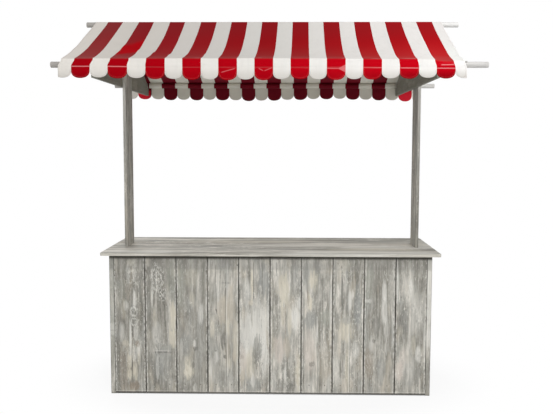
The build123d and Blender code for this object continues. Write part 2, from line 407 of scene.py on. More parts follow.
def weathered(
    name, across, along, corner, seed, size=None, tone=0.0, busy=1.0, grain_size=1.0,
    patches=(), knots=(), cracks=(), olive=0.0, foot=0.006, painted_edge_light=0.0,
):
    """A board's finish. across and along name its axes; corner is where (0, 0) is on them.

    Marks are in millimetres from the corner. size is the board's width and length in metres, for
    the painted shade, dirt and lips along its rims, and foot is how high its lower end starts. grain_size
    pulls the grain larger, for wide boards. Its last argument paints the upper part of a plank's narrow
    edges lighter and their lower part darker: painted light and shade against the awning's shade.
    """
    bench = new_finish(name)
    place = bench.place()
    apart = bench.split(place)
    through = next(a for a in AXES if a not in (across, along))
    wide = apart.out(across) - corner[0]
    high = apart.out(along) - corner[1]
    flat = bench.join(wide, 0.0, high)
    grain = bench.join(wide, apart.out(through), high) + tuple(seed * step for step in SEED_STEPS)
    sway = bench.cloudy(grain * tuple(count / grain_size for count in SWAY_LENGTHS), 2.0) - 0.5
    cloud = wood_clouds(bench, grain + bench.join(sway * (SWAY_REACH * grain_size)), grain_size)

    colour = bare_wash(bench, cloud, tone, busy, olive)
    colour = paint_patches(bench, colour, flat, cloud, patches)
    colour = paint_knots(bench, colour, flat, cloud, sway, knots)
    colour = paint_cracks(bench, colour, wide, high, cloud, sway, cracks)
    colour = paint_flecks(bench, colour, cloud, busy)
    facings = bench.split(place.out("Normal"))
    if size:
        facing = bench.ease(abs(facings.out(through)), 0.4, 0.6)
        colour = paint_rims(bench, colour, wide, high, cloud, facing, size, foot)
    # painted light on the upper part of a plank's narrow edges, against the awning's shade, and painted
    # shade on their lower part
    if painted_edge_light:
        narrow = bench.ease(abs(facings.out(across)), 0.4, 0.6)
        colour = bench.blend(narrow * bench.ease(high, 1.3, 2.0) * painted_edge_light, colour, TINTS["white"])
        colour = bench.blend(narrow * bench.ease(high, 1.45, 1.0) * 0.3, colour, TINTS["dark"])
    normal = bench.bump(0.5, 0.0016, cloud.brush * 0.4 + cloud.fibres * 0.35 + cloud.flecks * 0.35)
    roughness = 0.72 + (cloud.fibres - 0.5) * 0.3
    bench.set(base_color=colour, roughness=roughness, normal=normal, specular_ior_level=0.3)
    return bench.owner


print("wood finish ready")

# %% [markdown]
# ## The ten front boards
#
# The front is what a customer sees, so each board keeps its own story: where the wash has stayed
# cream or white, where a knot shows its rings, and where the wood has cracked. The marks are listed
# board by board, in millimetres from the board's lower left corner, and the noise makes their edges
# ragged. Painting them as an image would be quicker, but it wouldn't stay sharp close to.

# %% Marks on the left half of the front
FRONT = {}
FRONT[1] = dict(
    tone=-0.1,
    patches=[
        (93, 797, 14, 70, "white", 0.5), (130, 797, 12, 60, "white", 0.45),
        (106, 855, 24, 25, "cream", 0.5), (172, 710, 20, 110, "dark", 0.7),
        (131, 616, 10, 62, "white", 0.85), (77, 580, 15, 32, "white", 0.55),
        (102, 362, 7, 125, "white", 0.9), (137, 406, 13, 62, "white", 0.6),
        (148, 326, 16, 20, "brown", 0.85), (154, 290, 10, 40, "white", 0.6),
        (126, 268, 13, 50, "white", 0.6), (154, 232, 9, 42, "cream", 0.6), (92, 212, 15, 42, "cream", 0.9),
        (90, 123, 18, 36, "cream", 0.95), (131, 138, 16, 52, "cream", 0.85),
        (126, 52, 34, 28, "brown", 0.8), (58, 145, 30, 130, "brown", 0.4),
        (48, 406, 15, 62, "white", 0.45), (69, 333, 22, 22, "cream", 0.45),
        (54, 640, 26, 120, "green", 0.3),
    ],
    knots=[(126, 540, 34, 46, 1.6, 0.7), (130, 470, 28, 32, 1.3, 0.6), (111, 770, 50, 110, 2.0, 0.5)],
    cracks=[(111, 80, 240, 1.8, "soot")],
)
FRONT[2] = dict(
    tone=-0.1, busy=0.85,
    patches=[
        (17, 804, 15, 28, "soot", 0.6), (44, 637, 7, 62, "white", 0.7), (22, 543, 13, 140, "dark", 0.65),
        (180, 493, 24, 115, "cream", 0.95), (178, 362, 26, 58, "cream", 0.9),
        (72, 391, 26, 74, "white", 0.5), (100, 536, 5, 40, "soot", 0.45), (74, 174, 10, 92, "white", 0.75),
        (104, 200, 64, 130, "blue", 0.45), (160, 58, 15, 40, "white", 0.4),
        (172, 761, 32, 120, "green", 0.5), (60, 500, 14, 60, "cream", 0.35),
        (105, 273, 60, 6, "dark", 1.0), (105, 284, 56, 4, "white", 0.35),
    ],
    knots=[(80, 770, 58, 130, 2.6, 0.8), (104, 652, 44, 52, 2.2, 0.85), (72, 330, 40, 90, 2.0, 0.3)],
)
FRONT[3] = dict(
    tone=-0.03, busy=0.7,
    patches=[
        (30, 725, 26, 160, "green", 0.5), (100, 761, 42, 62, "cream", 0.25),
        (157, 522, 15, 62, "white", 0.75), (192, 580, 6, 62, "white", 0.6),
        (114, 330, 10, 30, "white", 0.8), (118, 299, 15, 15, "soot", 0.6), (72, 180, 22, 70, "cream", 0.8),
        (72, 140, 32, 45, "cream", 0.95), (65, 340, 42, 74, "blue", 0.6), (111, 36, 13, 32, "white", 0.6),
        (30, 290, 9, 62, "white", 0.5), (58, 50, 42, 32, "dark", 0.5), (150, 326, 32, 190, "blue", 0.35),
        (100, 620, 16, 50, "cream", 0.4),
    ],
    knots=[(93, 598, 15, 13, 1.2, 0.8), (72, 160, 50, 110, 2.0, 0.3)],
)
FRONT[4] = dict(
    tone=0.035, busy=0.78,
    patches=[
        (12, 833, 4, 72, "white", 0.75), (79, 855, 72, 42, "blue", 0.5), (122, 728, 32, 6, "dark", 0.5),
        (69, 638, 9, 112, "white", 0.65), (100, 551, 38, 92, "tan", 0.7), (150, 580, 22, 135, "tan", 0.6),
        (54, 547, 6, 20, "soot", 0.8), (68, 478, 5, 30, "soot", 0.6), (100, 362, 15, 62, "soot", 0.5),
        (114, 312, 9, 42, "soot", 0.5), (30, 435, 15, 62, "cream", 0.6), (128, 442, 13, 62, "cream", 0.8),
        (50, 286, 7, 7, "soot", 1.0), (54, 246, 13, 42, "white", 0.6), (110, 246, 11, 14, "soot", 0.7),
        (184, 348, 20, 135, "cream", 0.7), (170, 254, 9, 42, "tan", 0.7), (28, 160, 22, 82, "white", 0.45),
        (140, 203, 15, 32, "cream", 0.45), (192, 844, 7, 8, "soot", 1.0), (100, 100, 50, 60, "blue", 0.35),
    ],
    cracks=[(118, 0, 897, 0.9, "soot"), (124, 100, 860, 1.4, "white"), (50, 640, 860, 0.8, "soot")],
)
FRONT[5] = dict(
    tone=0.08, busy=0.88,
    patches=[
        (85, 725, 8, 122, "cream", 0.9), (78, 601, 15, 18, "tan", 0.7), (160, 743, 42, 115, "blue", 0.7),
        (50, 667, 22, 82, "white", 0.6), (130, 450, 62, 150, "white", 0.85),
        (60, 390, 52, 140, "white", 0.8), (160, 270, 30, 150, "white", 0.95),
        (70, 200, 34, 100, "cream", 0.6), (118, 275, 27, 100, "dark", 0.85),
        (25, 232, 24, 90, "pink", 0.7), (14, 246, 18, 14, "brown", 0.4), (18, 109, 20, 62, "tan", 0.7),
        (90, 60, 64, 46, "blue", 0.7), (88, 87, 14, 42, "white", 0.7),
    ],
    cracks=[(95, 601, 884, 1.8, "soot"), (150, 620, 860, 0.8, "soot")],
)
print("marks on boards 1 to 5:", sum(len(FRONT[n]["patches"]) for n in range(1, 6)))

# %% Marks on the right half of the front
FRONT[6] = dict(
    tone=0.11,
    patches=[
        (42, 825, 6, 62, "dark", 0.7), (30, 849, 11, 42, "white", 0.6), (86, 677, 36, 112, "cream", 0.9),
        (46, 620, 22, 32, "dark", 0.6), (158, 505, 26, 84, "white", 1.0), (186, 603, 13, 42, "white", 0.7),
        (82, 521, 11, 92, "cream", 0.7), (126, 455, 15, 92, "cream", 0.7), (62, 291, 36, 92, "pink", 0.85),
        (110, 308, 22, 62, "tan", 0.55), (62, 58, 36, 52, "dark", 0.75), (94, 193, 19, 62, "dark", 0.6),
        (128, 45, 26, 42, "dark", 0.7), (98, 144, 7, 62, "white", 0.85), (182, 127, 18, 105, "cream", 0.8),
        (26, 86, 15, 62, "white", 0.5), (158, 759, 38, 92, "blue", 0.4),
    ],
    cracks=[(98, 324, 620, 1.4, "brown"), (86, 400, 560, 0.8, "brown")],
)
FRONT[7] = dict(
    tone=0.06,
    patches=[
        (74, 743, 28, 72, "cream", 0.9), (54, 595, 17, 62, "cream", 1.0), (42, 636, 3.5, 52, "brown", 1.0),
        (26, 784, 22, 92, "blue", 0.4), (122, 636, 42, 112, "dark", 0.45),
        (154, 513, 32, 62, "green", 0.7), (58, 488, 42, 62, "blue", 0.75),
        (102, 423, 4.5, 82, "white", 0.95), (58, 275, 42, 135, "pink", 0.65),
        (66, 201, 21, 17, "soot", 0.5), (154, 209, 38, 135, "tan", 0.35), (58, 45, 32, 42, "white", 0.5),
        (178, 62, 11, 62, "white", 0.6), (186, 560, 8, 120, "white", 0.4),
    ],
    cracks=[(56, 810, 890, 0.9, "soot"), (106, 20, 285, 0.9, "soot"), (134, 520, 800, 0.8, "soot")],
)
FRONT[8] = dict(
    tone=0.04,
    patches=[
        (69, 849, 42, 42, "cream", 0.5), (61, 669, 9, 92, "dark", 0.85), (110, 620, 11, 72, "white", 0.85),
        (129, 652, 9, 32, "white", 0.8), (161, 579, 29, 122, "blue", 0.9),
        (85, 423, 42, 74, "cream", 0.85), (29, 488, 21, 62, "dark", 0.4), (149, 300, 27, 52, "white", 0.6),
        (93, 193, 11, 112, "cream", 0.75), (85, 62, 42, 52, "tan", 0.5), (21, 209, 19, 140, "white", 0.4),
        (88, 484, 26, 25, "blue", 0.55),
    ],
    cracks=[(107, 0, 560, 1.4, "white"), (112, 0, 560, 0.7, "soot"), (61, 700, 830, 0.9, "soot")],
)
FRONT[9] = dict(
    tone=0.01, busy=0.8,
    patches=[
        (32, 735, 32, 125, "green", 0.6), (128, 677, 13, 62, "white", 0.85),
        (128, 562, 17, 92, "white", 0.8), (144, 439, 13, 62, "white", 0.7),
        (28, 616, 22, 11, "white", 0.6), (88, 455, 27, 74, "dark", 0.6), (48, 332, 16, 50, "white", 0.6),
        (144, 316, 9, 40, "white", 0.6), (64, 357, 12, 12, "soot", 0.5), (32, 209, 32, 95, "brown", 0.5),
        (112, 160, 27, 72, "blue", 0.5),
    ],
    cracks=[(184, 300, 860, 0.9, "white"), (76, 230, 350, 1.0, "white"), (82, 560, 850, 0.7, "soot")],
)
FRONT[10] = dict(
    tone=0.0, busy=0.95,
    patches=[
        (12, 718, 9, 105, "white", 0.75), (84, 677, 32, 92, "white", 0.5), (96, 710, 9, 42, "white", 0.7),
        (60, 439, 11, 62, "dark", 0.7), (140, 537, 42, 125, "white", 0.4), (28, 160, 27, 74, "pink", 0.95),
        (52, 242, 21, 62, "pink", 0.5), (92, 168, 36, 100, "white", 0.4), (148, 275, 19, 52, "white", 0.7),
        (148, 127, 21, 72, "dark", 0.5), (188, 373, 7, 150, "white", 0.6), (36, 554, 25, 125, "blue", 0.4),
        (120, 330, 14, 60, "cream", 0.5),
    ],
)
print("marks on boards 6 to 10:", sum(len(FRONT[n]["patches"]) for n in range(6, 11)))

# %% Dressing the front boards
PITCH = 0.2
boards = sorted(n for n in nodes if n.startswith("front_board_"))
board_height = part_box(boards[0])[1].z
for number, node in enumerate(boards, 1):
    left = (number - 1 - len(boards) / 2) * PITCH
    finish = f"front_board_wash_{number}"
    size = (PITCH, board_height)
    dress(node, weathered(finish, "X", "Z", (left, 0.0), number * 3.1, size, **FRONT[number]))
print("front boards:", len(boards), "marks:", sum(len(b["patches"]) for b in FRONT.values()))

# %% [markdown]
# ## The other wooden pieces
#
# The counter's ends are the same boards, so they get the same wash. The rails and the posts are
# plain planks with fewer marks. The posts' narrow edges are painted lighter towards the top and
# darker lower down: painted light and shade that even out the awning's shade. The gables sit in the
# awning's shade, and their wood has gone olive. The top is one wide board with long pale streaks, so
# its grain is pulled out much larger.

# %% The ends of the counter
EDGE_MARKS = {
    "left_end_board_1": [
        (0, 440, 8, 22, "white", 0.9), (0, 400, 8, 14, "white", 0.8), (0, 560, 8, 400, "green", 0.5),
        (0, 860, 8, 50, "dark", 0.4),
    ],
    "right_end_board_1": [
        (0, 640, 8, 240, "white", 0.8), (0, 380, 8, 60, "white", 0.6), (0, 150, 8, 90, "dark", 0.4),
    ],
}
SUNK_FOOT = -0.004


def own_number(node):
    """A number from 0 to 36 for each node, from the letters of its name."""
    return sum(ord(c) for c in node) % 37


end_boards = sorted(n for n in nodes if "_end_board_" in n)
for node in end_boards:
    low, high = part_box(node)
    number = own_number(node)
    patches = [
        (60 + number, 300, 30, 90, "cream", 0.7), (120 - number, 640, 30, 110, "white", 0.6),
        (40 + number * 2, 760, 26, 80, "blue", 0.5), (140 - number, 120, 30, 70, "dark", 0.5),
        (30 + number, 480, 12, 80, "white", 0.6), (90, 200 + number * 9, 20, 60, "tan", 0.5),
    ]
    dress(node, weathered(
        f"{node}_wash", "Y", "Z", (low.y, 0.0), number * 1.7, (high.y - low.y, high.z),
        tone=0.07 if node.endswith("board_1") else -0.02, busy=0.85, foot=SUNK_FOOT,
        patches=patches + EDGE_MARKS.get(node, []),
        knots=[(50 + number * 2, 420 + number * 8, 34, 60, 2.2, 0.6)],
    ))
print("end boards:", len(end_boards))

# %% Rails, posts and gables
TONES = {"left_post": -0.02, "right_post": -0.11, "left_gable": -0.21, "right_gable": -0.235}
for node in sorted(nodes):
    low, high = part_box(node)
    number = own_number(node)
    finish = f"{node}_wood"
    if node.endswith("_rail"):
        along, start = ("Y", low.y) if high.x - low.x < high.y - low.y else ("X", low.x)
        dress(node, weathered(finish, "Z", along, (low.z, start), number * 1.3, tone=-0.04))
    elif node.endswith("_post"):
        dress(node, weathered(
            finish, "Y", "Z", (low.y, 0.0), number * 2.3, tone=TONES[node], busy=0.9, painted_edge_light=0.8))
    elif node.endswith("_gable"):
        dress(node, weathered(
            finish, "Z", "Y", (low.z, low.y), number * 1.9, tone=TONES[node], busy=0.35, olive=0.45))
print("dressed in plain wood:", [n for n in sorted(nodes) if n.endswith(("_rail", "_post", "_gable"))])

# %% The counter top
TOP_MARKS = [
    (0, 1080, 7, 2600, "cream", 0.15), (12, 480, 16, 520, "dark", 0.3), (300, 1860, 75, 330, "white", 0.8),
    (600, 330, 50, 130, "dark", 0.5), (60, 300, 60, 160, "white", 0.6), (55, 1640, 75, 430, "white", 0.85),
    (300, 500, 60, 300, "dark", 0.35), (380, 1250, 50, 400, "white", 0.4),
    (200, 1750, 60, 260, "cream", 0.5), (560, 900, 70, 420, "cream", 0.35),
    (745, 480, 50, 340, "soot", 0.55), (720, 1500, 60, 340, "dark", 0.3), (150, 900, 40, 300, "dark", 0.3),
]
low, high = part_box("counter_top")
dress("counter_top", weathered(
    "counter_top_wash", "Y", "X", (low.y, low.x), 5.0, tone=0.075, grain_size=5.0, patches=TOP_MARKS))
print("counter top:", [round(v, 3) for v in high - low])

# %% [markdown]
# ## The poles
#
# Plain round bars with a coat of pale grey paint, a little worn where they have been slid in and
# out of their seats. Fine scratches run round a bar that is turned in its seat, so the noise is
# stretched the short way. The left ends are painted darker, as painted shade, and the high right end
# of the ridge pole is painted lighter, as painted light.

# %% The pole paint
bench = new_finish("pole_paint")
place = bench.place()
spot = bench.split(place)
cloud = bench.cloudy(place * (9.0, 60.0, 60.0))
scratches = bench.cloudy(place * (260.0, 30.0, 30.0), 4.0, 0.6)
painted_light_right_end = bench.ease(spot.out("X"), 0.9, 1.0) * bench.ease(spot.out("Z"), 2.3, 2.35)
colour = bench.blend(bench.ease(cloud, 0.3, 0.7), paint(205, 203, 199), paint(226, 224, 220))
colour = bench.blend(bench.ease(scratches, 0.62, 0.7) * 0.35, colour, paint(150, 148, 142))
# painted shade on the left ends of the poles, and painted light on the high right end of the ridge pole
colour = bench.blend(bench.ease(spot.out("X"), -1.0, -1.1) * 0.9, colour, paint(162, 157, 151))
colour = bench.blend(painted_light_right_end * 0.9, colour, paint(244, 243, 240))
normal = bench.bump(0.3, 0.0004, scratches)
bench.set(base_color=colour, roughness=0.42 + cloud * 0.16, normal=normal, specular_ior_level=0.4)
POLES = ["front_pole", "ridge_pole", "rear_pole"]
for node in POLES:
    dress(node, bench.owner)
print("poles dressed:", len(POLES))

# %% [markdown]
# ## Screws in the boards
#
# Each board is held to its rails by two screws at each crossing. The heads are flush and washed
# over with the boards, so they hardly show, but a close look finds them. One small disc with a
# bevelled rim and a cross slot is made once, and copied to every crossing.

# %% One screw head
HEAD_STEPS = 24
# radius and height of each ring from the rim inwards; the socket's own rings have no radius
HEAD_RINGS = [(0.0042, 0.0), (0.0041, 0.0003), (0.0036, 0.0005), (None, 0.0005), (None, 0.0001)]
SLOT_REACH, SLOT_CORNER, SLOT_ANGLE = 0.0019, 0.0008, 0.3


def screw_head():
    """Vertices and faces of one head, facing +Z, with its socket cut in."""
    steps = HEAD_STEPS
    turns = [2 * math.pi * i / steps for i in range(steps)]
    quarter = math.pi / 2
    cross = [SLOT_REACH if min(t % quarter, -t % quarter) < SLOT_ANGLE else SLOT_CORNER for t in turns]
    points = [
        ((r or c) * math.cos(t), (r or c) * math.sin(t), z)
        for r, z in HEAD_RINGS
        for t, c in zip(turns, cross)
    ]
    faces = [
        (k * steps + i, k * steps + (i + 1) % steps, (k + 1) * steps + (i + 1) % steps, (k + 1) * steps + i)
        for k in range(len(HEAD_RINGS) - 1)
        for i in range(steps)
    ]
    return points, faces + [tuple(range((len(HEAD_RINGS) - 1) * steps, len(HEAD_RINGS) * steps))]


head_points, head_faces = screw_head()
print("one head:", len(head_points), "points,", len(head_faces), "faces")


# %% A head at every crossing
def rail_middle(rail):
    low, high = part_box(rail)
    return (low.z + high.z) / 2


# each seat is a head's middle, the way its slot lies, and the way it faces
seats = []
for node in boards:
    low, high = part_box(node)
    for rail in ("front_top_rail", "front_bottom_rail"):
        for shift in (-0.052, 0.048):
            seats.append((((low.x + high.x) / 2 + shift, low.y, rail_middle(rail)), (1, 0, 0), (0, -1, 0)))
for side, way in (("left", -1), ("right", 1)):
    for number in range(1, 5):
        low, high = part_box(f"{side}_end_board_{number}")
        x = low.x if way < 0 else high.x
        for rail in (f"{side}_top_rail", f"{side}_bottom_rail"):
            for share in (0.25, 0.75):
                y = low.y + (high.y - low.y) * share
                seats.append(((x, y, rail_middle(rail)), (0, way, 0), (way, 0, 0)))
points, faces = [], []
for centre, along, out in seats:
    along, out = Vector(along), Vector(out)
    other = out.cross(along)
    start = len(points)
    points += [tuple(Vector(centre) + along * x + other * y + out * z) for x, y, z in head_points]
    faces += [tuple(start + i for i in face) for face in head_faces]
screws = bpy.data.meshes.new("board_screws")
screws.from_pydata(points, [], faces)
piece = new_piece("board_screws", screws)
bench = new_finish("washed_screw")
rust = bench.ease(bench.cloudy(bench.place() * 300.0), 0.45, 0.6)
bench.set(base_color=bench.blend(rust, paint(150, 148, 141), paint(118, 108, 98)), roughness=0.6)
screws.materials.append(bench.owner)
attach(piece, "root")
print("screw heads:", len(seats))

# %% [markdown]
# ## The awning, one sheet of cloth
#
# On the real stall the awning is one width of coated canvas: it starts as the front valance, turns
# in at the crease, runs up the front slope, over the ridge pole and down again to the rear valance.
# Its lower edges are cut to one scallop for each stripe. It could be draped by a cloth simulation,
# but the ridge, the two creases and the sag between them are known to the millimetre, so the rows
# of the sheet are laid one by one and then pushed about: a sag, long soft waves, a few folds where the
# cloth drags, and a groove where the pole pocket is sewn on.
#
# First comes the cut. The columns of the grid run down the cloth. They are closer together near the
# edges of a stripe, where a scallop's outline is steepest.

# %% What the frame says
pole_low, pole_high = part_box("front_pole")
pole_radius = (pole_high.z - pole_low.z) / 2
eaves_z = (pole_high.z + pole_low.z) / 2
eaves_y = -(pole_high.y + pole_low.y) / 2
ridge_low, ridge_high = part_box("ridge_pole")
ridge_z = (ridge_high.z + ridge_low.z) / 2
valance_low, valance_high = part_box("awning_front_valance")
sheet_left, sheet_right = valance_low.x, valance_high.x
sheet_width = sheet_right - sheet_left
gables = [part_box("left_gable"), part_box("right_gable")]
gable_end = gables[0][1].y
gable_middles = [(low.x + high.x) / 2 for low, high in gables]
print("eaves at", round(eaves_z, 3), "ridge at", round(ridge_z, 3), "width", round(sheet_width, 3))

# %% The cut of the cloth
STRIPES = 21
RED_WIDTH, WHITE_WIDTH = 0.1053, 0.0983
LEFT_MARGIN = 0.0755
STEPS = 11

edges = [LEFT_MARGIN - WHITE_WIDTH, LEFT_MARGIN]
for stripe in range(STRIPES):
    edges.append(edges[-1] + (WHITE_WIDTH if stripe % 2 else RED_WIDTH))
edges.append(edges[-1] + WHITE_WIDTH)
columns = []
for left, right in zip(edges, edges[1:]):
    for step in range(STEPS):
        scallop_place = math.sin(math.pi / 2 * (2 * step / STEPS - 1))
        columns.append(((left + right) / 2 + scallop_place * (right - left) / 2, scallop_place))
columns.append((edges[-1], 1.0))
# u is each column's distance from the sheet's left edge, and t runs from -1 to 1 over a scallop
u = np.array([c[0] for c in columns])
t = np.array([c[1] for c in columns])
inside = (u > 1e-6) & (u < sheet_width - 1e-6)
end_places = np.interp([0.0, sheet_width], u, t)
t = np.concatenate([end_places[:1], t[inside], end_places[1:]])
u = np.concatenate([[0.0], u[inside], [sheet_width]])
print("columns:", len(u))

# %% [markdown]
# ### How the cloth moves off its plain curve
#
# New canvas holds its own shape, so the waves are long and only a millimetre or two high. The folds
# are where it drags: four at the left end, and small ones where the cloth turns over the front pole.
# A cloth simulation makes folds too, but not in chosen places, so these are short lists that are easy
# to change and look at again. Over a gable the cloth lies flat, so the waves and folds fade out there.


# %% Waves
def ease(value, start, end):
    s = np.clip((value - start) / (end - start), 0, 1)
    return s * s * (3 - 2 * s)


def hump(value, centre, half):
    return np.exp(-(((value - centre) / half) ** 2))


rng = np.random.default_rng(11)
x_mid = sheet_left + u
# height, length and start of each wave
RIPPLES = ((0.35, 0.83, 0.4), (0.3, 0.46, 2.1), (0.2, 0.29, 4.0), (0.15, 0.21, 1.0))
ripple = sum(a * np.sin(2 * math.pi * x_mid / w + p) for a, w, p in RIPPLES)
between = ease(x_mid, -0.93, -0.68) * ease(x_mid, 0.93, 0.70)
stripe_number = np.clip(np.searchsorted(edges, u + 1e-9) - 1, 0, STRIPES + 1)
curl = rng.uniform(-1, 1, STRIPES + 2)[stripe_number]
tilt = rng.uniform(-1, 1, STRIPES + 2)[stripe_number]
print("scallops curl by", round(float(curl.min()), 2), "to", round(float(curl.max()), 2))

# %% Folds
# x, distance down the slope, angle in degrees, half length, half width, height in millimetres
FRONT_FOLDS = [
    (-0.84, 0.50, 40, 0.16, 0.070, 5.0),
    (-0.66, 0.62, 30, 0.14, 0.060, 3.0),
    (-0.47, 0.68, -8, 0.16, 0.060, 2.5),
    (-0.97, 0.62, 25, 0.14, 0.060, 2.5),
    (0.13, 0.815, 4, 0.05, 0.012, 2.0),
    (0.42, 0.815, -6, 0.05, 0.012, 2.0),
    (0.56, 0.81, 5, 0.07, 0.014, 2.5),
    (0.78, 0.80, 8, 0.09, 0.016, 3.0),
]
REAR_FOLDS = [
    (-0.5, 0.62, 14, 0.15, 0.05, 4.0),
    (0.1, 0.68, -18, 0.14, 0.045, 3.5),
    (0.7, 0.6, 10, 0.16, 0.05, 4.0),
]
# height in millimetres, length, start and lean of the slopes' long waves
LONG_WAVES = ((1.6, 0.62, 0.3, 0.3), (1.1, 0.31, 1.9, -0.4), (0.6, 0.17, 0.5, 0.6))


def on_gable(x, s, side):
    """1 where the cloth lies over a gable, falling to 0 at either side of it."""
    place = x + side_shift(x, s, side)
    return np.clip(sum(ease(np.abs(place - middle), 0.05, 0.016) for middle in gable_middles), 0, 1)


def slope_waves(x, s, side):
    """How far the cloth stands off its smooth hang, s metres down from the ridge."""
    out = np.zeros_like(x)
    depth = ease(s, 0.02, 0.35) * ease(s, 0.86, 0.70)
    for a, w, p, lean in LONG_WAVES:
        out += a * 0.001 * np.sin(2 * math.pi * (x + lean * s) / w + p + side) * depth
    for x0, s0, angle, length, width, height in FRONT_FOLDS if side < 0 else REAR_FOLDS:
        c, n = math.cos(math.radians(angle)), math.sin(math.radians(angle))
        along = (x - x0) * c + (s - s0) * n
        across = -(x - x0) * n + (s - s0) * c
        out += height * 0.0016 * hump(along, 0, length) * (across / width) * hump(across, 0, width)
    return out * ease(s, 0.86, 0.82) * (1 - on_gable(x, s, side))


print("folds:", len(FRONT_FOLDS), "in front,", len(REAR_FOLDS), "behind")

# %% [markdown]
# ### How far the cloth is pulled sideways
#
# Cloth that was hung in a hurry never lies square. Here its left end has been dragged outwards and
# not drawn back, which bends the stripes. Four plain pulls say so: one on the slope, one on the
# hanging valance, one at the right end, and a gathering that narrows the red stripes at the left.
# Each fades over a good length of cloth, because a sudden shift would look like a tear.

# %% Side pulls
# metres along X
SLOPE_DRAG, VALANCE_DRAG = -0.016, -0.019
RIGHT_DRAW = 0.005
GATHER = 0.004
SLOPE = 0.87
FRONT_DRIFT, REAR_DRIFT = -0.0142, 0.0145


def side_shift(x, s, side):
    """How far the cloth lies from its cut place along X, at x and s metres of cloth from the ridge."""
    reach = np.clip(s / SLOPE, 0, 1)
    if side > 0:
        return -0.006 + REAR_DRIFT * reach + 0.004 * hump(x, -0.4, 0.3) * hump(s, 0.6, 0.12)
    on_slope = ease(s, 0.82, 0.2)
    hangs = ease(s, 0.865, 0.905)
    dragged = SLOPE_DRAG * ease(x, -0.2, -1.1) * on_slope + VALANCE_DRAG * ease(x, -0.5, -1.0) * hangs
    drawn = RIGHT_DRAW * ease(x, 0.6, 0.95) * (1 - 2 * ease(s, 0.4, 0.8) + 2 * hangs)
    # the turn is 0 at a red stripe's left edge and half a circle at its right edge
    stripe_turn = 2 * math.pi * (x - sheet_left - LEFT_MARGIN) / (RED_WIDTH + WHITE_WIDTH)
    gathered = GATHER * np.cos(stripe_turn) * ease(x, -0.3, -0.6) * on_slope
    return -0.006 + FRONT_DRIFT * reach + dragged + drawn + gathered


most_pulled = min(float(side_shift(x_mid, s + 0 * x_mid, -1).min()) for s in (0.0, 0.4, 0.95))
print("furthest to the left, in mm:", round(1000 * most_pulled))

# %% [markdown]
# ### Laying the rows
#
# Each half of the sheet is laid from the scallops up: the scallops, the valance with its sewn
# groove, the turn at the crease, the sagging slope and the ridge. The rear valance hangs a little
# lower than the front one, because the cloth lies over both poles by its own weight.

# %% The crease, the scallops and the pinches
SEAM_BELOW_POLE = 0.0185
GROOVE_HALF = 0.006
seam_z = eaves_z - SEAM_BELOW_POLE
CREASE = {-1: 2.0935, 1: 2.0715}
TURN = 0.004
# least sag, over the gables, and how much more there is between them
SAG = {-1: (0.024, 0.019), 1: (0.0214, 0.0125)}
VALLEY = {-1: 2.0095, 1: 1.990}
# x, half length and height of each stretch where the scallops hang higher or, if it is minus, lower
RISES = {
    -1: ((-1.0, 0.45, 0.012), (0.18, 0.08, 0.007), (0.95, 0.4, 0.010)),
    1: ((-1.05, 0.15, 0.008), (-0.15, 0.15, -0.006), (0.45, 0.25, 0.010), (1.05, 0.12, -0.008)),
}
RED_DEPTH, WHITE_DEPTH = 0.040, 0.036
SQUARENESS = 2.2
# x, z, half width, half height, depth in millimetres of the pinches in the front valance
PINCHES = [
    (0.425, 2.036, 0.022, 0.016, 3.2), (0.405, 2.040, 0.010, 0.022, -2.2), (-0.03, 2.036, 0.030, 0.008, 1.8),
    (-0.235, 2.034, 0.034, 0.008, 1.8), (0.99, 2.056, 0.03, 0.005, 1.6), (-0.19, 2.044, 0.012, 0.012, -1.2),
    (0.0, 2.043, 0.010, 0.012, -1.4),
]


def crease(x, side):
    """The height of the crease at x, and how large its turn is there, in metres."""
    left_loose = 0.007 * hump(x, sheet_left, 0.2)
    if side > 0:
        return CREASE[side] + 0 * x, TURN + left_loose + 0.007 * hump(x, sheet_right, 0.16)
    height = CREASE[side] - 0.0065 * ease(x, 0.2, 0.8) - 0.006 * ease(x, 0.975, 1.06)
    return height, TURN + left_loose + 0.013 * ease(x, 0.84, 1.02)


def valance_hang(z, side, crease_z):
    """How far the valance stands out at height z: seam groove, pole bulge, curl and pinches."""
    below = np.clip((seam_z - z) / 0.07, 0, 1.2)
    groove = (-0.0004 - 0.0012 * (stripe_number % 2)) * hump(z, seam_z, 0.0032)
    swell = 0.0018 * hump(z, eaves_z, 0.014)
    flare = below * (0.002 + 0.004 * curl + 0.0025 * ease(np.abs(t), 1.0, 0.3)) + below**2 * tilt * t * 0.004
    pinched = 0 * z
    for x0, z0, half_x, half_z, depth in PINCHES if side < 0 else ():
        pinched = pinched + depth * 0.001 * hump(x_mid, x0, half_x) * hump(z, z0, half_z)
    return groove + swell + flare + pinched * ease(z, crease_z - 0.01, crease_z - 0.02)


def valance_heights(side, top):
    """Rows of heights from the scallops up over the seam's groove, and then, with shares, to top."""
    lift = sum(height * hump(x_mid, x0, half) for x0, half, height in RISES[side])
    valley = lift + VALLEY[side] + ripple * 0.0008
    depth = np.where(stripe_number % 2 == 1, RED_DEPTH, WHITE_DEPTH)
    lowest = valley - depth * np.maximum(1 - np.abs(t) ** SQUARENESS, 0) ** (1 / SQUARENESS)
    flat = [lowest + (valley - lowest) * share for share in np.linspace(0, 1, 9)]
    flat += [valley + (seam_z - GROOVE_HALF - valley) * share for share in np.linspace(0, 1, 5)[1:]]
    flat += [seam_z + GROOVE_HALF * share + 0 * u for share in np.linspace(-1, 1, 9)[1:]]
    shares = np.linspace(0, 1, 8)[1:]
    return flat, [(share, seam_z + GROOVE_HALF + (top - seam_z - GROOVE_HALF) * share) for share in shares]


print("seam at", round(seam_z, 4), "scallops:", STRIPES + 2)

